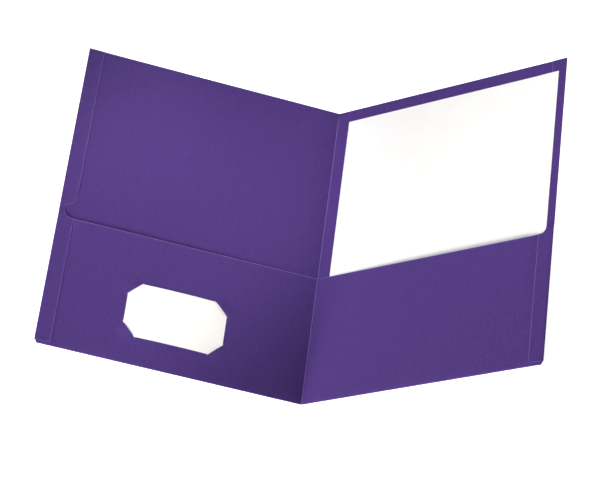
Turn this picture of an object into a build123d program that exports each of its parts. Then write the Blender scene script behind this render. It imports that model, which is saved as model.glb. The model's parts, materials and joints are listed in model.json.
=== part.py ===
from build123d import *
import math
import os

# Two pocket folder of embossed cover stock, lying on its back cover with the front cover lifted.
# It is one die-cut blank, creased into panels and glued: two covers, a pocket flap turned up along
# the bottom, and a hem turned in along each outer edge that holds the pocket's side down.
# Millimetres. X runs over the back cover away from the spine, Y up along the spine, Z up.
# The origin is the middle of the spine, on the plane that the back cover lies on.

# Papers that the folder holds
sheet_width = 215.9
sheet_height = 279.4
sheet_thickness = 0.1
card_width = 88.0
card_height = 50.0
card_thickness = 0.3

# Room around the sheet in its cover
sheet_spine_margin = 12.0
sheet_outer_margin = 7.1
sheet_bottom_margin = 1.6
sheet_top_margin = 11.8
sheet_clearance = 0.1

# Cover stock and glue
stock = 0.35
glue_line = 0.05
glue_inset = 1.5

# Pockets
pocket_height = 121.1
corner_cut = 2.2

# Hems: a rounded notch at the pocket's mouth leaves a narrow neck along the fold
hem_width = 13.7
hem_foot = 3.0
front_neck_width = 5.1
back_neck_width = 6.9
notch_height = 10.7
notch_upper_rise = 5.0
notch_lower_round = 7.5
notch_upper_round = 2.0
step_foot_rise = 4.0

# Card holder in the front pocket: four diagonal slits that take the card's corners
card_spine_margin = 75.5
card_bottom_margin = 25.8
card_clearance = 0.05
corner_tuck = 12.2
tuck_run = 0.7
slit_overlength = 0.8

# Spine: the stock rolls round the hinge axis, and the front cover's edges run clear of the roll
crease_band = 2.0
crease_clearance = 0.15
crease_wrap_angle = 120
rest_fold_angle = 50.9

# Overall sizes of a cover
cover_width = sheet_spine_margin + sheet_width + sheet_outer_margin
cover_height = sheet_bottom_margin + sheet_height + sheet_top_margin

# Levels of the layers above a cover's outer face, each at the layer's underside
hem_level = stock + glue_line
sheet_level = hem_level + stock + sheet_clearance
pocket_level = sheet_level + sheet_thickness + sheet_clearance
pocket_top = pocket_level + stock
lower_hem_level = pocket_top + glue_line
card_level = pocket_top + card_clearance
tuck_level = pocket_level - card_clearance - card_thickness

# The hinge axis lies in the pockets' top faces, so that these meet when the folder is shut
axis_level = pocket_top
roll_bore = axis_level - stock
hem_inner = cover_width - hem_width

# Stations up the hem, which stays level past the pocket's mouth and then steps down along the neck
step_foot = pocket_height + step_foot_rise
step_head = pocket_height + notch_height
notch_head = step_head + notch_upper_rise

# Each cover's frame: X from the spine, Y from the bottom fold, Z from the outer face
back_place = Pos(0, -cover_height / 2, 0)
front_place = Pos(0, 0, axis_level) * Rot(0, rest_fold_angle, 0) * Pos(0, -cover_height / 2, -axis_level)


def roll_radius(level):
    """Outer radius of the fold between a cover and the layer that it turns into."""
    return (level + stock) / 2


bottom_radius = roll_radius(pocket_level)
lower_radius = roll_radius(lower_hem_level)
upper_radius = roll_radius(hem_level)


def plate(points, level, thickness):
    """A flat piece of the given outline."""
    return extrude(Pos(0, 0, level) * make_face(Polyline(*points, close=True)), thickness)


def across(profile, length):
    """A profile of (X, Z) points drawn out along Y."""
    return extrude(Plane.XZ * make_face(profile), -length)


def roll_section(level, edge, outward):
    """The half ring of stock in a fold, with its outermost point over the cover's edge."""
    outer = roll_radius(level)
    inner = outer - stock
    ring = (
        ThreePointArc((0, -outer), (outer, 0), (0, outer))
        + Line((0, outer), (0, inner))
        + ThreePointArc((0, inner), (inner, 0), (0, -inner))
        + Line((0, -inner), (0, -outer))
    )
    centre = Vector(*edge, outer) - outward * outer
    return Plane(centre, x_dir=outward, z_dir=outward.cross(Vector(0, 0, 1))) * make_face(ring)


def cover_panel(spine_edge):
    """A cover between its creases, cut off at the bottom outer corner."""
    return plate(
        [
            (spine_edge, bottom_radius),
            (cover_width - corner_cut, bottom_radius),
            (cover_width - lower_radius, hem_foot),
            (cover_width - lower_radius, step_foot),
            (cover_width - upper_radius, step_head),
            (cover_width - upper_radius, cover_height),
            (spine_edge, cover_height),
        ],
        0,
        stock,
    )


def pocket_front(spine_edge):
    """A pocket's front, turned up from the bottom fold and held under the lower hem."""
    side = cover_width - lower_radius
    return plate(
        [
            (spine_edge, bottom_radius),
            (cover_width - corner_cut, bottom_radius),
            (side, hem_foot),
            (side, pocket_height),
            (spine_edge, pocket_height),
        ],
        pocket_level,
        stock,
    )


def bottom_fold():
    """The fold between a cover and its pocket, nicked at the spine and cut at the corner."""
    section = roll_section(pocket_level, (crease_band, 0), Vector(0, -1, 0))
    return extrude(section, cover_width - corner_cut - crease_band, dir=(1, 0, 0))


def side_fold():
    """The fold between a cover and its hem, which widens where the hem climbs over the pocket."""
    outward = Vector(1, 0, 0)
    foot = roll_section(lower_hem_level, (cover_width, hem_foot), outward)
    neck_foot = roll_section(lower_hem_level, (cover_width, step_foot), outward)
    neck_head = roll_section(hem_level, (cover_width, step_head), outward)
    lower = extrude(foot, step_foot - hem_foot, dir=(0, 1, 0))
    neck = loft([neck_foot, neck_head], ruled=True)
    upper = extrude(neck_head, cover_height - step_head, dir=(0, 1, 0))
    return lower + neck + upper


def hem_notch(neck_width):
    """The cut-out of the hem at the pocket's mouth, rounded where it meets the neck."""
    neck_inner = cover_width - neck_width
    outline = make_face(
        Polyline(
            (0, pocket_height),
            (neck_inner, pocket_height),
            (neck_inner, step_head),
            (hem_inner, notch_head),
            (0, notch_head),
            close=True,
        )
    )
    lower, upper = outline.vertices().group_by(Axis.X)[-1].sort_by(Axis.Y)
    rounded = fillet([lower], notch_lower_round)
    upper = rounded.vertices().sort_by_distance(Vector(neck_inner, step_head))[0]
    return fillet([upper], notch_upper_round)


def hem_strip(notch, foot, head, foot_level, head_level):
    """A stretch of hem between two stations, sloping from one level to the other."""
    foot_edge = cover_width - roll_radius(foot_level)
    head_edge = cover_width - roll_radius(head_level)
    profile = Polyline(
        (foot, foot_level),
        (head, head_level),
        (head, head_level + stock),
        (foot, foot_level + stock),
        close=True,
    )
    slab = extrude(Plane.YZ * make_face(profile), cover_width)
    outline = make_face(
        Polyline((hem_inner, foot), (foot_edge, foot), (head_edge, head), (hem_inner, head), close=True)
    )
    return slab & extrude(outline - notch, lower_hem_level + stock)


def glue_strip(foot, head, level):
    """The line of glue under a stretch of hem."""
    near = hem_inner + glue_inset
    far = cover_width - lower_radius - glue_inset
    low = foot + glue_inset
    high = head - glue_inset
    return plate([(near, low), (far, low), (far, high), (near, high)], level, glue_line)


def cover_pieces(panel_edge, pocket_edge, neck_width):
    """The pieces of one cover, lying flat in the cover's own frame."""
    notch = hem_notch(neck_width)
    return {
        "cover_panel": cover_panel(panel_edge),
        "side_fold": side_fold(),
        "lower_hem": hem_strip(notch, hem_foot, step_foot, lower_hem_level, lower_hem_level),
        "hem_neck": hem_strip(notch, step_foot, step_head, lower_hem_level, hem_level),
        "upper_hem": hem_strip(notch, step_head, cover_height, hem_level, hem_level),
        "hem_glue": glue_strip(notch_head, cover_height, stock),
        "pocket_glue": glue_strip(hem_foot, pocket_height, pocket_top),
        "bottom_fold": bottom_fold(),
        "pocket": pocket_front(pocket_edge),
    }


def card_corners():
    """The place of each of the card's corners, with X pointing out of the corner."""
    middle = Pos(card_spine_margin + card_width / 2, card_bottom_margin + card_height / 2, 0)
    for across_sign in (1, -1):
        for up_sign in (1, -1):
            turn = math.degrees(math.atan2(up_sign, across_sign))
            yield middle * Pos(across_sign * card_width / 2, up_sign * card_height / 2, 0) * Rot(0, 0, turn)


# Distance from a card's corner to its slit, and the slit's reach to each side
tuck_depth = corner_tuck / math.sqrt(2)
slit_reach = tuck_depth + slit_overlength


def card_slits():
    """The four slits, each as wide as the card's step down through the pocket."""
    slit = plate(
        [
            (-tuck_depth, -slit_reach),
            (tuck_run - tuck_depth, -slit_reach),
            (tuck_run - tuck_depth, slit_reach),
            (-tuck_depth, slit_reach),
        ],
        0,
        axis_level,
    )
    return [corner * slit for corner in card_corners()]


def business_card():
    """A card that lies on the pocket, with its corners stepped down through the slits."""
    near = card_spine_margin
    low = card_bottom_margin
    rectangle = [
        (near, low),
        (near + card_width, low),
        (near + card_width, low + card_height),
        (near, low + card_height),
    ]
    step = Polyline(
        (-tuck_depth, card_level),
        (-tuck_depth, card_level + card_thickness),
        (tuck_run - tuck_depth, tuck_level + card_thickness),
        (0, tuck_level + card_thickness),
        (0, tuck_level),
        (tuck_run - tuck_depth, tuck_level),
        close=True,
    )
    corner_plate = plate(
        [(-tuck_depth, -tuck_depth), (0, -tuck_depth), (0, tuck_depth), (-tuck_depth, tuck_depth)],
        0,
        card_level + card_thickness,
    )
    tucked = Pos(0, -tuck_depth, 0) * across(step, 2 * tuck_depth)
    column = plate(rectangle, 0, card_level + card_thickness)
    card = plate(rectangle, card_level, card_thickness)
    corners = list(card_corners())
    for corner in corners:
        card -= corner * corner_plate
    for corner in corners:
        card += column & (corner * tucked)
    return card


def rolled_strip(radius, bore, wrap_angle, foot, head):
    """A strip that lies on the back cover's side of the spine and rolls round the hinge axis."""
    start = Vector(0, -radius)
    around = math.radians(wrap_angle)
    end = Vector(-math.sin(around), -math.cos(around))
    halfway = Vector(-math.sin(around / 2), -math.cos(around / 2))
    rim = ThreePointArc(start, halfway * radius, end * radius)
    if bore > 0:
        inside = Line(end * radius, end * bore) + ThreePointArc(end * bore, halfway * bore, (0, -bore))
    else:
        inside = Line(end * radius, (0, 0))
    band = Polyline((0, -bore), (crease_band, -bore), (crease_band, -radius), start)
    return Pos(0, foot, axis_level) * across(rim + inside + band, head - foot)


def spine_crease():
    """The covers' crease, which wraps less beside the pocket so that the front pocket can swing flat."""
    clear_of_pocket = stock + crease_clearance
    lower_wrap_angle = 90 - math.degrees(math.asin(clear_of_pocket / roll_bore))
    pocket_end = pocket_height + crease_clearance
    lower = rolled_strip(axis_level, roll_bore, lower_wrap_angle, bottom_radius, pocket_end)
    upper = rolled_strip(axis_level, roll_bore, crease_wrap_angle, pocket_end, cover_height)
    return lower + upper


def pocket_crease():
    """The pocket flap's crease across the spine, with its rounded nose on the hinge axis."""
    return rolled_strip(stock, 0, 90, bottom_radius, pocket_height)


def letter_sheet():
    """The sheet in the back pocket, lying on the upper hem."""
    near = sheet_spine_margin
    low = sheet_bottom_margin
    far = near + sheet_width
    high = low + sheet_height
    return plate([(near, low), (far, low), (far, high), (near, high)], sheet_level, sheet_thickness)


# The back cover meets the crease, and the front cover's edges stay clear of the roll
front_panel_edge = math.sqrt((axis_level + crease_clearance) ** 2 - roll_bore**2)
front_pocket_edge = stock + crease_clearance
back = cover_pieces(crease_band, crease_band, back_neck_width)
front = cover_pieces(front_panel_edge, front_pocket_edge, front_neck_width)
for slit in card_slits():
    front["pocket"] -= slit

parts = {}
for name, piece in back.items():
    parts["back_" + name] = back_place * piece
for name, piece in front.items():
    parts["front_" + name] = front_place * mirror(piece, about=Plane.YZ)
parts["spine_crease"] = back_place * spine_crease()
parts["pocket_crease"] = back_place * pocket_crease()
parts["business_card"] = front_place * mirror(business_card(), about=Plane.YZ)
parts["letter_sheet"] = back_place * letter_sheet()

os.makedirs("parts", exist_ok=True)
for name, piece in parts.items():
    export_step(piece, f"parts/{name}.step")
    print(f"{name}: {len(piece.solids())} solid, {piece.volume:.2f} mm3")
print(f"hinge axis {axis_level:.3f} mm up, covers {cover_width:.1f} by {cover_height:.1f} mm")
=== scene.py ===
import cmath
import json
import math

import bpy
import numpy as np
from bpy.props import FloatProperty, FloatVectorProperty, PointerProperty
from mathutils import Matrix, Vector
from mathutils.geometry import delaunay_2d_cdt


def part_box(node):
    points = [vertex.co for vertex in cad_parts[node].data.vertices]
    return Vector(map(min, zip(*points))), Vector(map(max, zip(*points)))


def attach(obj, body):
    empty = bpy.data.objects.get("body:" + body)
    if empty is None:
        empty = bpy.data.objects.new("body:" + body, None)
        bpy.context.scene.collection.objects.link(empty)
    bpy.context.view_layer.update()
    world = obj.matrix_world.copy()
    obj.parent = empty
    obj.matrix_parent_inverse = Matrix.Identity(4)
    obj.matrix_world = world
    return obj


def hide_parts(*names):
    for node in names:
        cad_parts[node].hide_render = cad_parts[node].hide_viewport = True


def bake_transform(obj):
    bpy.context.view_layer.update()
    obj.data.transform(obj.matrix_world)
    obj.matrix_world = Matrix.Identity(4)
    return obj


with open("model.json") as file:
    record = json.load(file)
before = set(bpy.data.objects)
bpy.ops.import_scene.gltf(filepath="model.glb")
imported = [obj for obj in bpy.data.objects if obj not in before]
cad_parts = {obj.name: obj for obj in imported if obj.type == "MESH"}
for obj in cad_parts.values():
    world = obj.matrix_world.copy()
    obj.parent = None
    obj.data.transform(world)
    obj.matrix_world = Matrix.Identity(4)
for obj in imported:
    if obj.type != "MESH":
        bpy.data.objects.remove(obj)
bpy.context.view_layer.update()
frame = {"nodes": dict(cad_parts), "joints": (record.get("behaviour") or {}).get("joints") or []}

bl_info = {
    "name": "Two Pocket Folder",
    "version": (1, 0, 0),
    "blender": (4, 5, 0),
    "location": "3D View > Sidebar > Folder",
    "description": "Dresses the packed folder: creased cover stock, card, letter sheet and stage",
    "category": "Object",
}

# The frame: each cover has its own axes, from the spine, from the bottom fold and from the outer face

MM = 0.001
SPINE_FOLD = next(joint for joint in frame["joints"] if joint["name"] == "spine_fold")
AXIS_LEVEL = SPINE_FOLD["pos_m"][2]
FOLD_ANGLE = math.radians(-SPINE_FOLD["range_deg"][0])
COVER_HEIGHT = 2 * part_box("back_cover_panel")[1].y
SIDES = ("back", "front")


def cover_place(side):
    """Matrix from a cover's own axes to the row frame. The front one is a mirror image, lifted."""
    lay = Matrix.Translation((0, -COVER_HEIGHT / 2, 0))
    if side == "back":
        return lay
    hinge = Matrix.Translation((0, 0, AXIS_LEVEL))
    swing = hinge @ Matrix.Rotation(FOLD_ANGLE, 4, "Y") @ hinge.inverted()
    return swing @ lay @ Matrix.Diagonal((-1, 1, 1, 1))


def reach(node, side="back"):
    """Lowest and highest corner of a CAD node along its cover's own axes."""
    to_cover = cover_place(side).inverted()
    points = np.array([to_cover @ vertex.co for vertex in frame["nodes"][node].data.vertices])
    return points.min(axis=0).tolist(), points.max(axis=0).tolist()


STOCK = reach("back_cover_panel")[1][2]
COVER_WIDTH = reach("back_side_fold")[1][0]
CARD_LOW, CARD_HIGH = reach("business_card", "front")
CARD_MIDDLE = [(low + high) / 2 for low, high in zip(CARD_LOW, CARD_HIGH)]
CARD_HALF = [(high - low) / 2 for low, high in zip(CARD_LOW, CARD_HIGH)]
SHEET_LOW, SHEET_HIGH = reach("letter_sheet")


# What a user would change


def length(name, description, default):
    """A length, whose default is in millimetres."""
    return FloatProperty(
        name=name, description=description, default=default * MM, min=0, precision=5, unit="LENGTH"
    )


def pair(name, description, back, front, unit="LENGTH"):
    """A value for each cover, with defaults in millimetres where it is a length."""
    scale = MM if unit == "LENGTH" else 1
    values = (back * scale, front * scale)
    return FloatVectorProperty(
        name=name, description=description, default=values, min=0, size=2, precision=5, unit=unit
    )


def share(name, description, default, top=1.0):
    """A plain number."""
    return FloatProperty(name=name, description=description, default=default, min=0, max=top)


def colour(name, description, default):
    """A linear colour."""
    return FloatVectorProperty(
        name=name, description=description, default=default, min=0, max=1, size=3, subtype="COLOR"
    )


class FolderSizes(bpy.types.PropertyGroup):
    """Sizes of the folder's stock and papers"""

    stock: length("Stock", "Thickness of the cover stock", STOCK / MM)
    neck: pair("Necks", "Stock left beside the notches in the hems", 6.9, 4.7)
    notch_round: pair("Notch rounds", "Radius of the notches beside the lips", 5.2, 6.5)
    notch_rise: pair("Notch rises", "Rise of the notches above the hems' steps", 0.0, 1.0)
    bow: pair("Bows", "How far the pockets' lips stand off", 1.9, 1.5)
    gape: pair("Gapes", "Slope at which the lips leave the spine", 0.016, 0.0095, "NONE")
    sag: pair("Sags", "How far the lips come down, as a share of their bows", 0.67, 0.54, "NONE")
    hem_curl: pair("Hem curls", "How far the hems' free edges lift", 0.0, 0.13)
    notch_top_round: length("Notch top round", "Radius of the notch at its top", 2.0)
    notch_slope: length("Notch slope", "Rise of the notch's upper side", 5.0)
    hem_corner: length("Hem corner", "Radius of the hem's corner above the notch", 5.5)
    lip_rise: length("Lip rise", "How far the lips reach above the packed pockets", 0.35)
    hem_hold: length("Hem hold", "Width beside a hem over which the lip lies down", 6.0)
    corner_tuck: length("Corner tuck", "Length of a card's side behind its slit", 12.2)
    slit_width: length("Slit width", "Width of a card slit", 0.7)
    slit_spare: length("Slit spare", "Length of a slit past the card, at each end", 0.5)
    slit_dip: length("Slit dip", "How far the stock and the card bend down at a slit", 0.6)
    tab_lift: length("Tab lift", "How far the stock arches over a card's corner", 0.9)
    card_bow: length("Card bow", "How far the card's middle stands off the pocket", 0.7)
    card_thickness: length("Card thickness", "Thickness of the card", 0.3)
    sheet_drop: length("Sheet drop", "How far the sheet lies below where the hem bears it", 0.45)
    # The pale bands along the covers' cut edges and along the spine crease are wear with a painted
    # highlight, where rounded edges and the crease would catch the light
    edge_wear_and_highlight_band: length("Edge band", "Width of the pale wear along a cut edge", 0.7)
    crease_wear_and_highlight_band: length("Crease band", "Width of the pale wear on each side of the spine", 0.4)


class FolderFinish(bpy.types.PropertyGroup):
    """Colours and grain of the folder's stock and papers"""

    stock_colour: colour("Stock", "Colour of the cover stock", (0.0723, 0.0362, 0.1823))
    # The stock's cut edges have this paler colour; it is also laid in bands along cut edges and the spine
    # crease as wear with a painted highlight
    wear_colour: colour("Wear", "Colour of cut edges and creases", (0.205, 0.142, 0.385))
    sheet_colour: colour("Sheet", "Colour of the letter sheet", (0.860, 0.853, 0.838))
    card_colour: colour("Card", "Colour of the card", (0.945, 0.92, 0.875))
    glue_colour: colour("Glue", "Colour of the dried glue", (0.80, 0.77, 0.68))
    grain_depth: length("Grain depth", "Depth of the pressed grain", 0.05)
    grain_tone: share("Grain tone", "How much the grain shades the stock", 0.09)


class FolderStage(bpy.types.PropertyGroup):
    """Floor, light and camera"""

    floor_colour: colour("Floor", "Colour of the floor", (0.93, 0.93, 0.93))
    floor_glow: share("Floor glow", "Light that the floor gives off", 0.8, 5.0)
    air_light: share("Air light", "Strength of the light from all round", 0.095, 5.0)
    lens: share("Lens", "Focal length in millimetres", 137.967, 500.0)


# Node trees


class Graph:
    """Adds nodes to a tree and joins them up."""

    def __init__(self, tree):
        self.tree = tree

    def add(self, kind, inputs=None, **settings):
        node = self.tree.nodes.new(kind)
        for name, value in settings.items():
            setattr(node, name, value)
        for name, value in (inputs or {}).items():
            self.feed(node.inputs[name], value)
        return node

    def out(self, kind, inputs=None, **settings):
        return self.add(kind, inputs, **settings).outputs[0]

    def feed(self, socket, value):
        if isinstance(value, bpy.types.NodeSocket):
            self.tree.links.new(value, socket)
        else:
            socket.default_value = value

    def math(self, operation, *values):
        return self.out("ShaderNodeMath", dict(enumerate(values)), operation=operation)

    def noise(self, vector, scale, detail=2.0, **more):
        inputs = {"Vector": vector, "Scale": scale, "Detail": detail, **more}
        return self.add("ShaderNodeTexNoise", inputs).outputs

    def ramp(self, value, low, high, to_low=0.0, to_high=1.0, curve="SMOOTHSTEP"):
        inputs = dict(enumerate((value, low, high, to_low, to_high)))
        return self.out("ShaderNodeMapRange", inputs, interpolation_type=curve)

    def mix(self, factor, first, second):
        node = self.add("ShaderNodeMix", data_type="RGBA")
        given = {"Factor_Float": factor, "A_Color": first, "B_Color": second}
        for socket in node.inputs:
            if socket.identifier in given:
                self.feed(socket, given[socket.identifier])
        return next(socket for socket in node.outputs if socket.identifier == "Result_Color")


def group_named(name):
    """A node group by its name, built at its first use."""
    tree = bpy.data.node_groups.get(name)
    if tree:
        return tree
    kind, fill, numbers = GROUPS[name]
    tree = bpy.data.node_groups.new(name, kind)
    for title, of_type in {**STANDING_INPUTS[kind], **dict.fromkeys(numbers, "Float")}.items():
        tree.interface.new_socket(title, in_out="INPUT", socket_type="NodeSocket" + of_type)
    graph = Graph(tree)
    results = fill(graph, graph.add("NodeGroupInput").outputs)
    result_type = "NodeSocketFloat" if kind == "ShaderNodeTree" else "NodeSocketGeometry"
    for title in results:
        tree.interface.new_socket(title, in_out="OUTPUT", socket_type=result_type)
    graph.add("NodeGroupOutput", results)
    return tree


# Effects that several finishes share

# The grain's bends to a metre and how far they sway it, its squeeze along, and a wrinkle's width
GRAIN_BENDS, GRAIN_SWAY = 160.0, 0.003
GRAIN_SQUEEZE = (1, 0.3, 1)
WRINKLE = 0.22
# The edge band's rags to a metre, and where its mask starts and is full. On the covers the band is wear
# with a painted highlight; on paper and card it is a darker edge
RAGS = 900.0
BAND_START, BAND_FULL = 0.05, 0.85


def pressed_grain(graph, given):
    """Leather grain: upright wrinkles round long pebbles, as a roller presses them into stock."""
    place, pebbles = given["Vector"], given["Pebbles"]
    bends = graph.noise(place, GRAIN_BENDS)["Color"]
    centred = graph.out("ShaderNodeVectorMath", {0: bends, 1: [0.5] * 3}, operation="SUBTRACT")
    swayed = graph.out(
        "ShaderNodeVectorMath", {0: centred, 1: [GRAIN_SWAY] * 3, 2: place}, operation="MULTIPLY_ADD"
    )
    long = graph.out("ShaderNodeMapping", {"Vector": swayed, "Scale": GRAIN_SQUEEZE})
    gap = graph.out("ShaderNodeTexVoronoi", {"Vector": long, "Scale": pebbles}, feature="DISTANCE_TO_EDGE")
    wrinkle = graph.ramp(gap, 0.0, WRINKLE)
    streak = graph.noise(long, given["Streaks"], 3.0, Roughness=0.55)[0]
    speck = graph.noise(place, pebbles, 4.0, Roughness=0.6)[0]
    uneven = graph.math("MULTIPLY_ADD", speck, 0.5, wrinkle)
    height = graph.math("MULTIPLY_ADD", streak, 0.8, uneven)
    tone = graph.math("MULTIPLY_ADD", wrinkle, 0.35, streak)
    return {"Height": height, "Tone": graph.ramp(tone, 0.35, 1.0, curve="LINEAR")}


def worn_edge(graph, given):
    """A ragged mask along cut edges and creases, from the piece's own edge attribute. On the covers it
    lays wear with a painted highlight.
    """
    centred = graph.math("SUBTRACT", graph.noise(given["Vector"], RAGS)[0], 0.5)
    shifted = graph.math("MULTIPLY_ADD", centred, given["Raggedness"], given["Edge"])
    return {"Wear": graph.ramp(shifted, BAND_START, BAND_FULL)}


def paper_fibre(graph, given):
    """Felted fibres with a faint cloudiness, as white paper shows against the light."""
    fibre = graph.noise(given["Vector"], given["Fibres"], 5.0, Distortion=1.2)[0]
    cloud = graph.noise(given["Vector"], given["Clouds"], 3.0)[0]
    tone = graph.math("MULTIPLY_ADD", fibre, 0.5, cloud)
    return {"Height": fibre, "Tone": graph.ramp(tone, 0.5, 1.0, curve="LINEAR")}


# Finishes


def shaded(rgb, factor):
    """A colour made darker or lighter, with alpha."""
    return tuple(min(1.0, part * factor) for part in rgb) + (1.0,)


class Finish:
    """A material with its shader, its place in the piece and the shared effects at hand."""

    def __init__(self, name, gloss):
        self.material = bpy.data.materials.new(name)
        self.material.use_nodes = True
        self.graph = Graph(self.material.node_tree)
        self.place = self.graph.add("ShaderNodeTexCoord").outputs["Object"]
        self.give({"Specular IOR Level": gloss})

    def give(self, inputs):
        """Sets the shader's inputs."""
        shader = self.material.node_tree.nodes["Principled BSDF"]
        for title, value in inputs.items():
            self.graph.feed(shader.inputs[title], value)

    def effect(self, name, **inputs):
        """The outputs of a shared effect."""
        inputs["Vector"] = self.place
        return self.graph.add("ShaderNodeGroup", inputs, node_tree=group_named(name)).outputs

    def surface(self, relief, rgb, shades, roughness, depth, worn=None, raggedness=0.0):
        """Shades a colour and roughens it as a relief says, and lays the edge colour on cut edges."""
        base = self.graph.mix(relief["Tone"], *(shaded(rgb, shade) for shade in shades))
        # On the covers the edge colour is wear with a painted highlight; on paper and card it is a darker
        # edge
        if worn:
            edge = self.graph.add("ShaderNodeAttribute", attribute_name="cut_edge").outputs["Fac"]
            edge_mask = self.effect("worn_edge", Edge=edge, Raggedness=raggedness)["Wear"]
            base = self.graph.mix(edge_mask, base, worn)
        rough = self.graph.ramp(relief["Tone"], 0, 1, *roughness)
        bump = self.graph.out("ShaderNodeBump", {"Height": relief["Height"], "Distance": depth})
        self.give({"Base Color": base, "Roughness": rough, "Normal": bump})
        return self.material


# Each fibrous finish: colour, gloss, fibres and clouds to a metre, shades, roughness, depth, shade of the
# band along its edges
FIBROUS = {
    "cut_edge": ("wear_colour", 0.15, 3500.0, 300.0, (0.75, 1.1), (0.8, 0.8), 0.02 * MM, None),
    "letter_paper": ("sheet_colour", 0.2, 2600.0, 55.0, (0.985, 1.01), (0.66, 0.78), 0.008 * MM, 0.94),
    "card_board": ("card_colour", 0.2, 2600.0, 80.0, (0.985, 1.01), (0.66, 0.78), 0.008 * MM, 0.94),
    "dried_glue": ("glue_colour", 0.4, 900.0, 160.0, (0.85, 1.08), (0.30, 0.55), 0.05 * MM, None),
}


def fibrous_finish(name, settings):
    """Paper, board, a cut edge or glue, as its row of the table says."""
    title, gloss, fibres, clouds, shades, roughness, depth, edge_shade = FIBROUS[name]
    rgb = getattr(settings, title)
    finish = Finish(name, gloss)
    fibre = finish.effect("paper_fibre", Fibres=fibres, Clouds=clouds)
    worn = shaded(rgb, edge_shade) if edge_shade else None
    return finish.surface(fibre, rgb, shades, roughness, depth, worn, raggedness=0.2)


def cover_stock_finish(name, settings):
    """Coloured stock with a pressed grain, pale along cut edges and creases as wear with a painted
    highlight.
    """
    finish = Finish(name, gloss=0.1)
    grain = finish.effect("pressed_grain", Pebbles=650.0, Streaks=420.0)
    shades = (1 - settings.grain_tone, 1 + settings.grain_tone)
    worn, depth, roughness = shaded(settings.wear_colour, 1), settings.grain_depth, (0.50, 0.62)
    return finish.surface(grain, settings.stock_colour, shades, roughness, depth, worn, raggedness=0.35)


def finish_named(name):
    """A finish by its name, made at its first use."""
    make = cover_stock_finish if name == "embossed_stock" else fibrous_finish
    return bpy.data.materials.get(name) or make(name, bpy.context.scene.folder_finish)


# Folding and thickening

# Points nearer than this are one point
SAME_PLACE = 1e-6


def sheet_thickness(graph, given):
    """Gives a skin its thickness on the side away from its faces, with square cut edges."""
    depth = graph.math("MULTIPLY", given["Thickness"], -1.0)
    inputs = {"Mesh": given["Skin"], "Offset Scale": depth, "Individual": False}
    wall = graph.add("GeometryNodeExtrudeMesh", inputs, mode="FACES")
    side = wall.outputs["Side"]
    inner = graph.out("GeometryNodeFlipFaces", {"Mesh": wall.outputs["Mesh"]})
    both = graph.add("GeometryNodeJoinGeometry", {"Geometry": given["Skin"]})
    graph.feed(both.inputs["Geometry"], inner)
    sheet = both.outputs[0]
    for kind, inputs in (
        ("GeometryNodeMergeByDistance", {"Distance": SAME_PLACE}),
        ("GeometryNodeSetShadeSmooth", {"Shade Smooth": True}),
        ("GeometryNodeSetShadeSmooth", {"Selection": side, "Shade Smooth": False}),
        ("GeometryNodeRealizeInstances", {}),
        ("GeometryNodeSetMaterial", {"Material": given["Face"]}),
        ("GeometryNodeSetMaterial", {"Selection": side, "Material": given["Edge"]}),
    ):
        sheet = graph.out(kind, {"Geometry": sheet, **inputs})
    return {"Sheet": sheet}


def thickened(graph, skin, given):
    """A skin with the thickness, face and edge that a tree is given."""
    inputs = {title: given[title] for title in SHEET_INPUTS}
    inputs["Skin"] = skin
    return graph.out("GeometryNodeGroup", inputs, node_tree=group_named("sheet_thickness"))


def own_lift(graph):
    """The rise of each point, which a blank keeps as an attribute."""
    return graph.out("GeometryNodeInputNamedAttribute", {"Name": "lift"}, data_type="FLOAT")


def around(graph, travel, radius):
    """A fold of half a turn: how far it runs out, how far it rises, and the length past it."""
    turned = graph.math("DIVIDE", travel, radius)
    angle = graph.math("MINIMUM", graph.math("MAXIMUM", turned, 0.0), math.pi)
    arc = graph.math("MULTIPLY", radius, math.pi)
    past = graph.math("MAXIMUM", graph.math("SUBTRACT", travel, arc), 0.0)
    out = graph.math("MULTIPLY", graph.math("SINE", angle), radius)
    rise = graph.math("MULTIPLY", graph.math("SUBTRACT", 1.0, graph.math("COSINE", angle)), radius)
    return out, rise, past


def folded_blank(graph, given):
    """Folds a die-cut blank: the pocket flap up along the bottom and the hem in along the side."""
    width, lower, upper, foot, head, bottom = (given[title] for title in BLANK_SIZES)
    flat = graph.add("ShaderNodeSeparateXYZ", {0: graph.out("GeometryNodeInputPosition")})
    across, along = flat.outputs[0], flat.outputs[1]
    roll = graph.ramp(along, foot, head, lower, upper)
    crease = graph.math("SUBTRACT", width, roll)
    hem_out, hem_rise, hem_past = around(graph, graph.math("SUBTRACT", across, crease), roll)
    u = graph.math("ADD", graph.math("MINIMUM", across, crease), hem_out)
    u = graph.math("SUBTRACT", u, hem_past)
    flap_out, flap_rise, flap_past = around(graph, graph.math("SUBTRACT", bottom, along), bottom)
    v = graph.math("SUBTRACT", graph.math("MAXIMUM", along, bottom), flap_out)
    v = graph.math("ADD", v, flap_past)
    w = graph.math("ADD", graph.math("ADD", hem_rise, flap_rise), own_lift(graph))
    place = graph.out("ShaderNodeCombineXYZ", {0: u, 1: v, 2: w})
    folded = graph.out("GeometryNodeSetPosition", {"Geometry": given["Skin"], "Position": place})
    return {"Folded": thickened(graph, folded, given)}


def laid_paper(graph, given):
    """Lays a flat paper at a level, lifted where its own attribute says."""
    rise = graph.math("ADD", own_lift(graph), given["Level"])
    offset = graph.out("ShaderNodeCombineXYZ", {2: rise})
    laid = graph.out("GeometryNodeSetPosition", {"Geometry": given["Skin"], "Offset": offset})
    return {"Laid": thickened(graph, laid, given)}


SHEET_INPUTS = {"Skin": "Geometry", "Thickness": "Float", "Face": "Material", "Edge": "Material"}
STANDING_INPUTS = {"ShaderNodeTree": {"Vector": "Vector"}, "GeometryNodeTree": SHEET_INPUTS}
BLANK_SIZES = ("Width", "Lower Roll", "Upper Roll", "Step Foot", "Step Head", "Pocket Roll")
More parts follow.
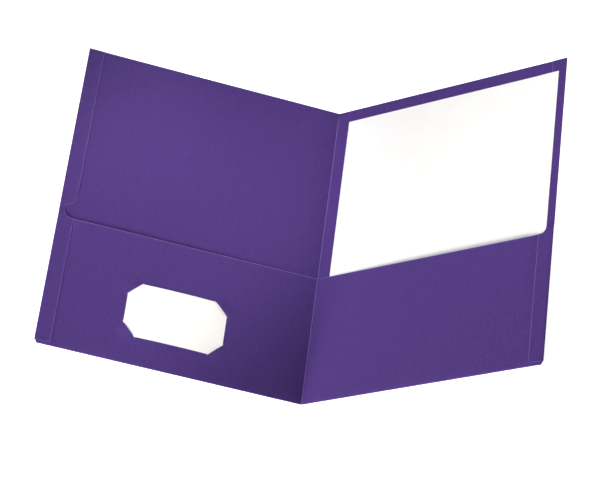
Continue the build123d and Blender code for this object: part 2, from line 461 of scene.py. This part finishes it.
# Each node group: its kind, what fills it, and the numbers that it takes besides its kind's inputs
GROUPS = {
    "pressed_grain": ("ShaderNodeTree", pressed_grain, ("Pebbles", "Streaks")),
    "worn_edge": ("ShaderNodeTree", worn_edge, ("Edge", "Raggedness")),
    "paper_fibre": ("ShaderNodeTree", paper_fibre, ("Fibres", "Clouds")),
    "sheet_thickness": ("GeometryNodeTree", sheet_thickness, ()),
    "folded_blank": ("GeometryNodeTree", folded_blank, BLANK_SIZES),
    "laid_paper": ("GeometryNodeTree", laid_paper, ("Level",)),
}
# A tree that gives fewer faces has failed
LEAST_FACES = 8


def run_tree(piece, name, values):
    """Runs a tree on a flat piece and keeps the result as a plain mesh."""
    tree = group_named(name)
    modifier = piece.modifiers.new(name, "NODES")
    modifier.node_group = tree
    for item in tree.interface.items_tree:
        if item.in_out == "INPUT" and item.name in values:
            modifier[item.identifier] = values[item.name]
    graph = bpy.context.evaluated_depsgraph_get()
    made = bpy.data.meshes.new_from_object(
        piece.evaluated_get(graph), preserve_all_data_layers=True, depsgraph=graph
    )
    flat = piece.data
    piece.modifiers.remove(modifier)
    piece.data = made
    bpy.data.meshes.remove(flat)
    made.name = piece.name
    if len(made.polygons) < LEAST_FACES:
        raise RuntimeError(piece.name + " came out of its tree with too few faces")
    return piece


def sheet_values(thickness, face, edge=None):
    """The inputs that every tree of a sheet takes."""
    return {"Thickness": thickness, "Face": finish_named(face), "Edge": finish_named(edge or face)}


# Flat outlines

# A line this far inside every cut edge keeps the edge crisp
RIM = 0.06 * MM
# Lines that bound the band along cut edges, in widths of the band; on the covers it is wear with a painted
# highlight
BAND_LINES = (1.0, 2.2)
# Loose points keep this far from every line
LINE_GAP = 0.4 * MM


def new_object(name, data):
    """A new object in the scene."""
    made = bpy.data.objects.new(name, data)
    bpy.context.scene.collection.objects.link(made)
    return made


def store(mesh, title, values):
    """Keeps a value for each point of a mesh."""
    kept = mesh.attributes.new(title, "FLOAT", "POINT")
    kept.data.foreach_set("value", np.asarray(values, np.float32))


def smooth_step(low, high, value):
    """A smooth rise from 0 to 1 between two values."""
    part = np.clip((np.asarray(value, float) - low) / (high - low), 0, 1)
    return part * part * (3 - 2 * part)


def spaced(path, step):
    """Points along a line of straight runs, no further apart than a step."""
    points = [path[0]]
    for start, end in zip(path, path[1:]):
        count = max(1, math.ceil(math.dist(start, end) / step))
        points += [
            tuple(a + (b - a) * i / count for a, b in zip(start, end)) for i in range(1, count + 1)
        ]
    return points


def rounded(before, corner, after, radius, count=8):
    """The arc that rounds a corner between two straight runs."""
    before, corner, after = (complex(*point) for point in (before, corner, after))
    one, other = ((end - corner) / abs(end - corner) for end in (before, after))
    half = cmath.phase(other / one) / 2
    centre = corner + one * cmath.rect(radius / math.sin(abs(half)), half)
    start = corner + one * radius / math.tan(abs(half)) - centre
    turn = 2 * half - math.copysign(math.pi, half)
    arc = [centre + start * cmath.rect(1, turn * i / count) for i in range(count + 1)]
    return [(point.real, point.imag) for point in arc]


def inside(points, loop):
    """Which points lie inside a closed loop."""
    points, loop = np.asarray(points, float), np.asarray(loop, float)
    found = np.zeros(len(points), bool)
    for (ax, ay), (bx, by) in zip(loop, np.roll(loop, -1, axis=0)):
        crosses = (ay > points[:, 1]) != (by > points[:, 1])
        with np.errstate(divide="ignore", invalid="ignore"):
            x = (bx - ax) * (points[:, 1] - ay) / (by - ay) + ax
        found ^= crosses & (points[:, 0] < x)
    return found


def gap_to(points, segments):
    """Distance from each point to the nearest of some straight segments."""
    points = np.asarray(points, float)
    nearest = np.full(len(points), np.inf)
    for start, end in segments:
        start, run = np.array(start, float), np.subtract(end, start)
        along = np.clip((points - start) @ run / max(run @ run, 1e-18), 0, 1)
        nearest = np.minimum(nearest, np.linalg.norm(points - start - along[:, None] * run, axis=1))
    return nearest


def closed(loop):
    """A loop's points, ending where they start."""
    return loop + loop[:1]


def runs_of(loop):
    """The straight runs of a closed loop."""
    return list(zip(loop, closed(loop)[1:]))


def rectangle(low, high):
    """The outline of a straight sheet."""
    return [(low[0], low[1]), (high[0], low[1]), (high[0], high[1]), (low[0], high[1])]


def band_paths(loop, worn):
    """Unbroken lines of the runs that get the band along their edge."""
    runs = [(start, end, worn(start, end)) for start, end in runs_of(loop)]
    if all(much for _, _, much in runs):
        return [closed(loop)]
    first = next(i for i, run in enumerate(runs) if not run[2])
    lines = [[]]
    for start, end, much in runs[first:] + runs[:first]:
        if much:
            lines[-1] += [end] if lines[-1] else [start, end]
        elif lines[-1]:
            lines.append([])
    return [line for line in lines if line]


def beside(line, distance):
    """A line that keeps a distance from another, to its left."""
    points = np.array(line)
    runs = np.diff(points, axis=0)
    sides = np.stack([-runs[:, 1], runs[:, 0]], axis=1) / np.linalg.norm(runs, axis=1)[:, None]
    ring = np.allclose(points[0], points[-1])
    before = np.vstack([sides[-1] if ring else sides[0], sides])
    after = np.vstack([sides, sides[0] if ring else sides[-1]])
    miter = (before + after) / (1 + (before * after).sum(axis=1))[:, None]
    return [tuple(point) for point in (points + distance * miter).tolist()]


def turns_left(loop):
    """Whether a closed loop runs anticlockwise."""
    return sum(ax * by - bx * ay for (ax, ay), (bx, by) in runs_of(loop)) > 0


def guide_lines(outline, holes, worn, band):
    """Lines beside the cut edges, which keep them crisp and bound the band along them."""
    lines = [beside(closed(outline), RIM)]
    for line in band_paths(outline, worn):
        lines += [beside(line, band * width) for width in BAND_LINES]
    for hole in holes:
        away = -1 if turns_left(hole) else 1
        lines += [beside(closed(hole), away * distance) for distance in (RIM, band)]
    return lines


def triangulated(paths, field, outline, holes):
    """Points and triangles of a blank, with edges along the paths and loose points between."""
    points, edges = [], []
    for path in paths:
        first = len(points)
        points += path
        edges += [(i, i + 1) for i in range(first, len(points) - 1)]
    points = [Vector(point) for point in [*points, *field]]
    verts, _, faces, *_ = delaunay_2d_cdt(points, edges, [], 0, SAME_PLACE)
    flat = np.array([tuple(vert) for vert in verts])
    faces = np.array([tuple(face) for face in faces])
    middles = flat[faces].mean(axis=1)
    keep = inside(middles, outline)
    for hole in holes:
        keep &= ~inside(middles, hole)
    used, faces = np.unique(faces[keep], return_inverse=True)
    return flat[used], faces.reshape(-1, 3)


def flat_piece(name, outline, band, lift, worn=None, guides=(), holes=(), dots=(), step=6 * MM):
    """A flat triangulated blank with its lift and its edge band as attributes.

    lift gives the rise of points, and the other function how much of the edge band each run of the outline
    gets; on the covers the band is wear with a painted highlight."""
    worn = worn or (lambda start, end: 1.0)
    hole_runs = [run for hole in holes for run in runs_of(hole)]
    guides = [*guides, *guide_lines(outline, holes, worn, band)]
    corners = zip(np.min(outline, axis=0), np.max(outline, axis=0))
    columns, rows = (np.arange(low + step / 2, high, step) for low, high in corners)
    field = np.array([(x, y) for y in rows for x in columns] + list(dots))
    lines = runs_of(outline) + hole_runs + [run for path in guides for run in zip(path, path[1:])]
    field = field[inside(field, outline) & (gap_to(field, lines) > LINE_GAP)]
    paths = [closed(loop) for loop in (outline, *holes)] + guides
    flat, faces = triangulated([spaced(path, step) for path in paths], field, outline, holes)
    # The band along cut edges; on the covers it is wear with a painted highlight
    marked_runs = {1.0: hole_runs}
    for run in runs_of(outline):
        marked_runs.setdefault(worn(*run), []).append(run)
    edge_mask = [much * np.clip(1 - gap_to(flat, runs) / band, 0, 1) for much, runs in marked_runs.items()]
    mesh = bpy.data.meshes.new(name)
    mesh.from_pydata([(x, y, 0.0) for x, y in flat.tolist()], [], faces[:, ::-1].tolist())
    store(mesh, "lift", lift(flat))
    store(mesh, "cut_edge", np.max(edge_mask, axis=0))
    return new_object(name, mesh)


def set_on_cover(piece, side):
    """Moves a piece's mesh from its cover's own axes to the row frame."""
    piece.data.transform(cover_place(side))
    if side == "front":
        piece.data.flip_normals()
    piece.data.update()
    return piece


# Covers

STOCK_NODES = (
    "cover_panel", "side_fold", "lower_hem", "hem_neck", "upper_hem", "bottom_fold", "pocket"
)
# How strong a hem's edge band of wear and painted highlight is, against a lip's
HEM_WEAR_AND_HIGHLIGHT = 0.8
# How far from its edge a hem curls
CURL_REACH = 2.2 * MM
# How steeply a pocket's front rises to its lip
LIP_POWER = 3
# Steps of the notch's round, how near the hem's edge it stops, and lines across the hem's step
NOTCH_STEPS = 16
NOTCH_TRIM = 0.1 * MM
STEP_LINES = 7


class CoverShape:
    """One cover's sizes, read from the CAD nodes along the cover's own axes."""

    def __init__(self, side, sizes):
        self.side, self.sizes = side, sizes
        nodes = ("cover_panel", "pocket", "lower_hem", "upper_hem", "bottom_fold")
        panel, pocket, lower, upper, fold = (reach(f"{side}_{node}", side) for node in nodes)
        self.width, self.height = COVER_WIDTH, panel[1][1]
        self.panel_edge, self.pocket_edge = panel[0][0], pocket[0][0]
        self.fold_start, self.fold_end = fold[0][0], fold[1][0]
        self.pocket_roll = pocket[1][2] / 2
        self.lower_roll, self.upper_roll = lower[1][2] / 2, upper[1][2] / 2
        self.hem_inner, self.hem_foot = upper[0][0], lower[0][1]
        self.step_foot, self.step_head = lower[1][1], upper[0][1]
        self.lip = pocket[1][1] + sizes.lip_rise
        self.flap_start = self.pocket_roll * (1 - math.pi)
        self.neck = self.width - self.own("neck")
        self.notch_head = self.step_head + self.own("notch_rise")
        self.bow = self.own("bow")

    def own(self, title):
        """A size that each cover has for itself."""
        return getattr(self.sizes, title)[SIDES.index(self.side)]

    def roll(self, v):
        """Radius of the side fold at a height."""
        part = smooth_step(self.step_foot, self.step_head, v)
        return self.lower_roll + (self.upper_roll - self.lower_roll) * part

    def on_hem(self, u, v):
        """Where a point of the hem lies on the flat blank."""
        roll = float(self.roll(v))
        return (2 * (self.width - roll) + math.pi * roll - u, v)

    def on_flap(self, u, v):
        """Where a point of the pocket lies on the flat blank."""
        return (u, self.flap_start + self.pocket_roll - v)

    def notch(self):
        """The notch in the hem at the pocket's mouth, from the lip upwards."""
        sizes = self.sizes
        foot, head = (self.neck, self.lip), (self.neck, self.notch_head)
        first = (self.hem_inner, self.lip)
        last = (self.hem_inner, self.notch_head + sizes.notch_slope)
        lower = rounded(first, foot, head, self.own("notch_round"), NOTCH_STEPS)
        upper = rounded(foot, head, last, sizes.notch_top_round)
        corner = rounded(head, last, (self.hem_inner, self.height), sizes.hem_corner)
        lower = [point for point in lower if point[0] > self.hem_inner + NOTCH_TRIM]
        return [first, *lower, *upper, *corner]

    def outline(self):
        """The die-cut blank, from the top of the spine round by the pocket and the hem."""
        side = self.width - self.lower_roll
        points = [
            (self.panel_edge, self.height),
            (self.panel_edge, self.pocket_roll),
            (self.fold_start, self.pocket_roll),
            (self.fold_start, self.flap_start),
            (self.pocket_edge, self.flap_start),
            *(self.on_flap(u, v) for u, v in self.lip_line()),
            self.on_flap(side, self.lip),
            self.on_flap(side, self.hem_foot),
            (self.fold_end, self.flap_start),
            (self.fold_end, self.pocket_roll),
            (side, self.hem_foot),
            self.on_hem(self.hem_inner, self.hem_foot),
            *(self.on_hem(u, v) for u, v in self.notch()),
            self.on_hem(self.hem_inner, self.height),
        ]
        return [start for start, end in runs_of(points) if math.dist(start, end) > SAME_PLACE]

    def worn(self, start, end):
        """How strong the edge band is on a run of the outline, as wear with a painted highlight: lips
        fully, hems less, the spine and the folds not.
        """
        on_lip = max(start[1], end[1]) < self.on_flap(0, self.lip - self.bow)[1] + MM
        past_fold = min(start[0], end[0]) > self.width + MM
        on_hem = past_fold and max(start[1], end[1]) > self.hem_foot + MM
        return 1.0 if on_lip else HEM_WEAR_AND_HIGHLIGHT * on_hem

    def guides(self, count=9):
        """Crease lines along each fold, so that it rolls smoothly."""
        turns = [math.pi * i / (count - 1) for i in range(count)]
        step = np.linspace(self.step_foot, self.step_head, STEP_LINES).tolist()
        heights = [self.hem_foot, *step, self.height]
        rolls = [float(self.roll(v)) for v in heights]
        ends = (self.fold_start, self.fold_end)
        side = [
            [(self.width - roll + roll * turn, v) for roll, v in zip(rolls, heights)] for turn in turns
        ]
        bottom = [[(u, self.pocket_roll * (1 - turn)) for u in ends] for turn in turns]
        return side + bottom

    def lip_bow(self, u):
        """How far the lip stands off: it gapes from the spine and is held down by the hem."""
        past = np.clip(np.asarray(u, float) - self.pocket_edge, 0, None)
        held = smooth_step(self.hem_inner - self.sizes.hem_hold, self.hem_inner, u)
        return self.bow * np.tanh(past * self.own("gape") / self.bow) * (1 - held)

    def lip_line(self, count=60):
        """The lip from the spine to the hem. It comes down a little where it stands off."""
        places = np.linspace(self.pocket_edge, self.hem_inner, count)
        heights = self.lip - self.own("sag") * self.lip_bow(places)
        return list(zip(places.tolist(), heights.tolist()))

    def pocket_lift(self, u, v):
        """How far the pocket's front stands off: it bows at its lip and arches over the card."""
        up = np.clip((v - self.pocket_roll) / (self.lip - self.pocket_roll), 0, 1)
        rise = self.lip_bow(u) * up**LIP_POWER
        if self.side == "front":
            rise = rise + tab_lift(self.sizes, u, v)
        return rise

    def lift(self, flat):
        """The rise of each point of the flat blank above its folded place."""
        across, along = flat[:, 0], flat[:, 1]
        on_flap = along < self.flap_start
        v = self.pocket_roll + self.flap_start - along
        rise = np.where(on_flap, self.pocket_lift(across, v), 0.0)
        held, edge = (self.on_hem(self.hem_inner + gap, 0)[0] for gap in (CURL_REACH, 0))
        return rise + self.own("hem_curl") * smooth_step(held, edge, across)


# How far the dip before a slit and the arch past it reach
DIP_REACH = 0.9 * MM
TAB_REACH = 12.0 * MM
DIAGONAL = math.sqrt(2)
CARD_CORNERS = [(x, y) for x in (1, -1) for y in (1, -1)]


def slit_depth(sizes):
    """How far a slit lies inside the card's corner, along the corner's diagonal."""
    return sizes.corner_tuck / DIAGONAL


def card_corner(u, v):
    """How far points lie past a card's corner along its diagonal, and to the side of it."""
    a, b = np.abs(u - CARD_MIDDLE[0]) - CARD_HALF[0], np.abs(v - CARD_MIDDLE[1]) - CARD_HALF[1]
    return (a + b) / DIAGONAL, (a - b) / DIAGONAL


def corner_line(x, y, out, span):
    """A line across a card's corner, out past its tip and as long as twice the span."""
    tip = CARD_MIDDLE[0] + x * CARD_HALF[0], CARD_MIDDLE[1] + y * CARD_HALF[1]
    return [
        (tip[0] + x * (out - aside) / DIAGONAL, tip[1] + y * (out + aside) / DIAGONAL)
        for aside in (-span, span)
    ]


def slit_place(sizes, u, v):
    """How far points lie past the nearest slit, and a share that falls towards its ends."""
    depth = slit_depth(sizes)
    past, aside = card_corner(u, v)
    return past + depth, np.clip(1 - (aside / (depth + sizes.slit_spare)) ** 2, 0, 1)


def slit_dip(sizes, u, v):
    """How far the stock and the card on it bend down towards a slit."""
    past, part = slit_place(sizes, u, v)
    return sizes.slit_dip * part * np.exp(np.minimum(past, 0) / DIP_REACH)


def tab_lift(sizes, u, v):
    """The pocket's rise over a tucked corner, and its dip before the slit."""
    past, part = slit_place(sizes, u, v)
    flat = smooth_step(sizes.slit_width, sizes.slit_width + TAB_REACH, past)
    arch = sizes.tab_lift * part * (1 - flat)
    return np.where(past > sizes.slit_width / 2, arch, -slit_dip(sizes, u, v))


def slit_loops(sizes):
    """The outlines of the four slits on the pocket's front."""
    depth = slit_depth(sizes)
    sides = (-depth, sizes.slit_width - depth)
    loops = []
    for x, y in CARD_CORNERS:
        near, far = (corner_line(x, y, out, depth + sizes.slit_spare) for out in sides)
        loops.append([near[0], far[0], far[1], near[1]])
    return loops


def dots_near(loops, step=1.2 * MM, margin=7 * MM):
    """Closer points round each slit, where the stock arches."""
    dots = []
    for loop in loops:
        corners = zip(np.min(loop, axis=0) - margin, np.max(loop, axis=0) + margin)
        columns, rows = (np.arange(low, high, step) for low, high in corners)
        dots += [(x, y) for x in columns for y in rows]
    return dots


class FOLDER_OT_cover_blanks(bpy.types.Operator):
    """Cut, crease and fold the stock of both covers"""

    bl_idname = "folder.cover_blanks"
    bl_label = "Cover blanks"

    def execute(self, context):
        sizes = context.scene.folder_sizes
        for side in SIDES:
            shape = CoverShape(side, sizes)
            loops = slit_loops(sizes) if side == "front" else []
            slits = [[shape.on_flap(*point) for point in loop] for loop in loops]
            # The blank's pale band along its lips and hems is wear with a painted highlight
            piece = flat_piece(
                side + "_cover_blank", shape.outline(), sizes.edge_wear_and_highlight_band, shape.lift, worn=shape.worn,
                guides=shape.guides(), holes=slits, dots=dots_near(slits),
            )
            values = {title: getattr(shape, title.lower().replace(" ", "_")) for title in BLANK_SIZES}
            values.update(sheet_values(sizes.stock, "embossed_stock", "cut_edge"))
            set_on_cover(run_tree(piece, "folded_blank", values), side)
            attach(piece, side + "_cover")
            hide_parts(*(f"{side}_{node}" for node in STOCK_NODES))
        return {"FINISHED"}


# Spine

# Steps on each cover, round the hinge axis, up the spine and round its foot
FLAT_STEPS = 4
ROLL_STEPS = 24
STRIP_STEPS = 48
FOOT_STEPS = 12
LEAST_RADIUS = 0.02 * MM


def straight_rows(foot, head, outer, stock):
    """Rows of a straight strip, each with radius and height of its outer and inner skin."""
    return [((outer, v), (outer - stock, v)) for v in np.linspace(foot, head, STRIP_STEPS + 1)]


def foot_rows(roll, stock):
    """Rows of the bottom fold where it crosses the spine, round from the pocket to the cover."""
    rows = []
    for turn in np.linspace(math.pi, 0, FOOT_STEPS + 1):
        across, down = math.cos(turn), math.sin(turn)
        rows.append([(AXIS_LEVEL - roll + r * across, roll - r * down) for r in (roll, roll - stock)])
    return rows


def roll_path(radius, back_edge, front_edge):
    """A line from one cover to the other, round the hinge axis at a radius."""
    radius = max(radius, LEAST_RADIUS)
    turns = np.linspace(0, FOLD_ANGLE, ROLL_STEPS + 1)
    tilt = np.array((-math.cos(FOLD_ANGLE), math.sin(FOLD_ANGLE)))
    flat = np.linspace(back_edge, 0, FLAT_STEPS, endpoint=False)
    back = np.stack([flat, np.full(FLAT_STEPS, AXIS_LEVEL - radius)], axis=1)
    roll = np.stack([-radius * np.sin(turns), AXIS_LEVEL - radius * np.cos(turns)], axis=1)
    front = roll[-1] + np.linspace(0, front_edge, FLAT_STEPS + 1)[1:, None] * tilt
    return np.vstack([back, roll, front])


def quads(grid, turn):
    """Faces between the points of a grid, turned one way or the other."""
    corners = (grid[:-1, :-1], grid[:-1, 1:], grid[1:, 1:], grid[1:, :-1])
    return np.stack(corners[::turn], axis=-1).reshape(-1, 4).tolist()


def strip_faces(rows, columns):
    """Faces of a strip's two skins, and of the rims that close it."""
    grid = np.arange(2 * rows * columns).reshape(2, rows, columns)
    skins = quads(grid[0], 1) + quads(grid[1], -1)
    sides = quads(grid[:, :, 0], 1) + quads(grid[:, :, -1], -1)
    ends = quads(grid[:, 0], -1) + quads(grid[:, -1], 1)
    return skins, sides + ends


def creased_strip(name, rows, back_edge, front_edge, band):
    """A strip of stock that lies on both covers and rolls round the hinge axis between them."""
    verts, edge_mask = [], []
    for skin in zip(*rows):
        for radius, v in skin:
            line = roll_path(radius, back_edge, front_edge)
            verts += [(x, v - COVER_HEIGHT / 2, z) for x, z in line.tolist()]
            # A pale band along the middle of the crease: wear with a painted highlight, where the crease
            # would catch the light
            run = np.concatenate([[0], np.cumsum(np.linalg.norm(np.diff(line, axis=0), axis=1))])
            centre = run[FLAT_STEPS + ROLL_STEPS // 2]
            edge_mask.append(np.clip(1 - np.abs(run - centre) / band, 0, 1))
    skins, rims = strip_faces(len(rows), len(line))
    mesh = bpy.data.meshes.new(name)
    mesh.from_pydata(verts, [], skins + rims)
    for finish in ("embossed_stock", "cut_edge"):
        mesh.materials.append(finish_named(finish))
    mesh.polygons.foreach_set("material_index", [0] * len(skins) + [1] * len(rims))
    mesh.polygons.foreach_set("use_smooth", [True] * len(skins) + [False] * len(rims))
    store(mesh, "cut_edge", np.concatenate(edge_mask))
    return new_object(name, mesh)


class FOLDER_OT_spine_creases(bpy.types.Operator):
    """Join the covers, and the pockets, across the spine"""

    bl_idname = "folder.spine_creases"
    bl_label = "Spine creases"

    def execute(self, context):
        sizes = context.scene.folder_sizes
        back, front = (CoverShape(side, sizes) for side in SIDES)
        roll, stock = back.pocket_roll, sizes.stock
        cover_rows = straight_rows(roll, back.height, AXIS_LEVEL, stock)
        pocket_rows = straight_rows(roll, back.lip, stock, stock)
        strips = (
            ("spine_crease", cover_rows, AXIS_LEVEL, back.panel_edge, front.panel_edge),
            ("pocket_crease", pocket_rows, stock, back.pocket_edge, front.pocket_edge),
            ("spine_foot", foot_rows(roll, stock), AXIS_LEVEL, back.fold_start, front.fold_start),
        )
        for name, rows, outer, back_edge, front_edge in strips:
            piece = creased_strip(name + "_strip", rows, back_edge, front_edge, sizes.crease_wear_and_highlight_band)
            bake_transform(piece)
            if name in frame["nodes"]:
                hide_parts(name)
        return {"FINISHED"}


# Papers

# Gap between the card and the pocket's front
CARD_CLEAR = 0.05 * MM
# Share of the card's bow at its ends, and how far from the slits the bow fades
BOW_AT_ENDS = 0.6
BOW_FADE = 14 * MM
# Lines across the card's corners, where it bends, and how far they stop short of its edges
CARD_BEND = (0.3 * MM, 0.7 * MM, 1.2 * MM, 2.0 * MM, 3.2 * MM)
BEND_SPARE = 4 * RIM
# Where the sheet slopes down, before the back hem
SHEET_SLOPE = (16 * MM, 2 * MM)
SLOPE_LINES = 7
CARD_BAND = 0.5 * MM
SHEET_BAND = 0.4 * MM


class FOLDER_OT_business_card(bpy.types.Operator):
    """Lay the card on the front pocket with its corners in the slits"""

    bl_idname = "folder.business_card"
    bl_label = "Business card"

    def execute(self, context):
        sizes = context.scene.folder_sizes
        shape = CoverShape("front", sizes)
        pocket_top = 2 * shape.pocket_roll

        def lift(flat):
            u, v = flat[:, 0], flat[:, 1]
            past = slit_place(sizes, u, v)[0]
            across = np.clip((u - CARD_LOW[0]) / (CARD_HIGH[0] - CARD_LOW[0]), 0, 1)
            bow = sizes.card_bow * (BOW_AT_ENDS + (1 - BOW_AT_ENDS) * np.sin(math.pi * across))
            bow = bow * (1 - smooth_step(-BOW_FADE, 0, past))
            stand = shape.pocket_lift(u, v)
            plain = stand - tab_lift(sizes, u, v)
            laid = pocket_top + CARD_CLEAR + plain - slit_dip(sizes, u, v) + bow
            tucked = pocket_top - sizes.stock + stand - CARD_CLEAR - sizes.card_thickness
            under = smooth_step(0, sizes.slit_width, past)
            return laid * (1 - under) + np.minimum(laid, tucked) * under

        loops = slit_loops(sizes)
        guides = [[loop[i], loop[j]] for loop in loops for i, j in ((0, 3), (1, 2))]
        for gap in CARD_BEND:
            before = slit_depth(sizes) + gap
            guides += [corner_line(x, y, -before, before - BEND_SPARE) for x, y in CARD_CORNERS]
        piece = flat_piece(
            "business_card_board", rectangle(CARD_LOW, CARD_HIGH), CARD_BAND, lift,
            guides=guides, dots=dots_near(loops, 1.5 * MM), step=3 * MM,
        )
        values = {"Level": 0.0, **sheet_values(sizes.card_thickness, "card_board")}
        set_on_cover(run_tree(piece, "laid_paper", values), "front")
        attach(piece, "front_cover")
        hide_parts("business_card")
        return {"FINISHED"}


class FOLDER_OT_letter_sheet(bpy.types.Operator):
    """Slip the letter sheet into the back pocket"""

    bl_idname = "folder.letter_sheet"
    bl_label = "Letter sheet"

    def execute(self, context):
        drop = context.scene.folder_sizes.sheet_drop
        low, high = SHEET_LOW, SHEET_HIGH
        hem = reach("back_upper_hem")[0][0]
        slope = np.linspace(*(hem - gap for gap in SHEET_SLOPE), SLOPE_LINES).tolist()
        piece = flat_piece(
            "letter_sheet_paper", rectangle(low, high), SHEET_BAND,
            lambda flat: -drop * (1 - smooth_step(slope[0], slope[-1], flat[:, 0])),
            guides=[[(u, low[1]), (u, high[1])] for u in slope], step=9 * MM,
        )
        paper = sheet_values(high[2] - low[2], "letter_paper")
        set_on_cover(run_tree(piece, "laid_paper", {"Level": low[2], **paper}), "back")
        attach(piece, "loose_sheet")
        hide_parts("letter_sheet")
        return {"FINISHED"}


class FOLDER_OT_glue_lines(bpy.types.Operator):
    """Finish the glue lines under the hems"""

    bl_idname = "folder.glue_lines"
    bl_label = "Glue lines"

    def execute(self, context):
        for side in SIDES:
            for line in ("hem_glue", "pocket_glue"):
                node = frame["nodes"][f"{side}_{line}"]
                node.data.materials.clear()
                node.data.materials.append(finish_named("dried_glue"))
        return {"FINISHED"}


# Stage

CAMERA_PLACE = (1.10065, -0.95643, 1.46129)
CAMERA_RIGHT = (0.824247, 0.118416, -0.553710)
CAMERA_UP = (0.175655, 0.876171, 0.448855)
FLOOR_HALF = 4.0
# The floor lies a hair below the part, so that the two never fight for a place
FLOOR_LEVEL = -0.02 * MM
WHITE = (1, 1, 1, 1)

# Each soft light: place, aim, width, spread in degrees and power
LIGHTS = {
    "top_light": ((-0.40, -0.25, 0.86), (0.0, 0.0, 0.05), 0.4, 180, 4.631),
    "front_light": ((-0.50, -1.15, 0.6), (0.200, -0.086, 0.001), 0.7, 40, 2.249),
    "right_light": ((0.8, 0.0, 0.35), (0.200, 0.104, 0.001), 0.25, 40, 0.2126),
    "cover_light": ((0.1, 0.45, 0.6), (-0.146, 0.139, 0.181), 0.2, 14, 0.0419),
    "pocket_light": ((-0.1, -0.25, 0.35), (-0.095, 0.004, 0.117), 0.25, 24, 0.1491),
    "card_light": ((0.3, -0.2, 0.6), (-0.076, -0.040, 0.095), 0.3, 16, 0.0736),
}


class FOLDER_OT_stage(bpy.types.Operator):
    """Set the floor, the light and the camera"""

    bl_idname = "folder.stage"
    bl_label = "Stage"

    def execute(self, context):
        stage = context.scene.folder_stage
        mesh = bpy.data.meshes.new("studio_floor")
        corners = rectangle((-FLOOR_HALF, -FLOOR_HALF), (FLOOR_HALF, FLOOR_HALF))
        mesh.from_pydata([(x, y, FLOOR_LEVEL) for x, y in corners], [], [(0, 1, 2, 3)])
        floor = new_object("studio_floor", mesh)
        finish = Finish("studio_floor", gloss=0.0)
        cloud = finish.graph.noise(finish.place, 3.0)[0]
        base = finish.graph.mix(cloud, *(shaded(stage.floor_colour, shade) for shade in (0.99, 1.01)))
        glow = {"Emission Color": WHITE, "Emission Strength": stage.floor_glow}
        finish.give({"Base Color": base, "Roughness": 0.9, **glow})
        mesh.materials.append(finish.material)

        world = bpy.data.worlds.new("studio_air")
        world.use_nodes = True
        air = world.node_tree.nodes["Background"]
        air.inputs["Color"].default_value = WHITE
        air.inputs["Strength"].default_value = stage.air_light
        context.scene.world = world

        for name, (place, aim, width, spread, power) in LIGHTS.items():
            light = bpy.data.lights.new(name, "AREA")
            light.shape, light.size, light.energy = "DISK", width, power
            light.spread = math.radians(spread)
            lamp = new_object(name, light)
            turn = (Vector(aim) - Vector(place)).to_track_quat("-Z", "Y")
            lamp.matrix_world = Matrix.Translation(place) @ turn.to_matrix().to_4x4()
            lamp.visible_camera = False

        lens = bpy.data.cameras.new("camera")
        lens.lens = stage.lens
        camera = new_object("camera", lens)
        right, up = Vector(CAMERA_RIGHT), Vector(CAMERA_UP)
        turn = Matrix((right, up, right.cross(up))).transposed().to_4x4()
        camera.matrix_world = Matrix.Translation(CAMERA_PLACE) @ turn
        context.scene.camera = camera
        context.scene.view_settings.view_transform = "Standard"
        return {"FINISHED"}


# Sidebar

OPERATORS = (
    FOLDER_OT_cover_blanks,
    FOLDER_OT_spine_creases,
    FOLDER_OT_business_card,
    FOLDER_OT_letter_sheet,
    FOLDER_OT_glue_lines,
    FOLDER_OT_stage,
)
SETTINGS = {"folder_sizes": FolderSizes, "folder_finish": FolderFinish, "folder_stage": FolderStage}


class FOLDER_PT_sidebar(bpy.types.Panel):
    """Lists the folder's steps and settings"""

    bl_label = "Two Pocket Folder"
    bl_idname = "FOLDER_PT_sidebar"
    bl_space_type = "VIEW_3D"
    bl_region_type = "UI"
    bl_category = "Folder"

    def draw(self, context):
        for operator in OPERATORS:
            self.layout.operator(operator.bl_idname)
        for name, group in SETTINGS.items():
            box = self.layout.box()
            for title in group.__annotations__:
                box.prop(getattr(context.scene, name), title)


CLASSES = (*SETTINGS.values(), *OPERATORS, FOLDER_PT_sidebar)


def register():
    for item in CLASSES:
        bpy.utils.register_class(item)
    for name, group in SETTINGS.items():
        setattr(bpy.types.Scene, name, PointerProperty(type=group))


def unregister():
    for name in SETTINGS:
        delattr(bpy.types.Scene, name)
    for item in reversed(CLASSES):
        bpy.utils.unregister_class(item)


def main():
    register()
    bpy.ops.folder.cover_blanks()
    bpy.ops.folder.spine_creases()
    bpy.ops.folder.business_card()
    bpy.ops.folder.letter_sheet()
    bpy.ops.folder.glue_lines()
    bpy.ops.folder.stage()


if __name__ == "__main__":
    main()
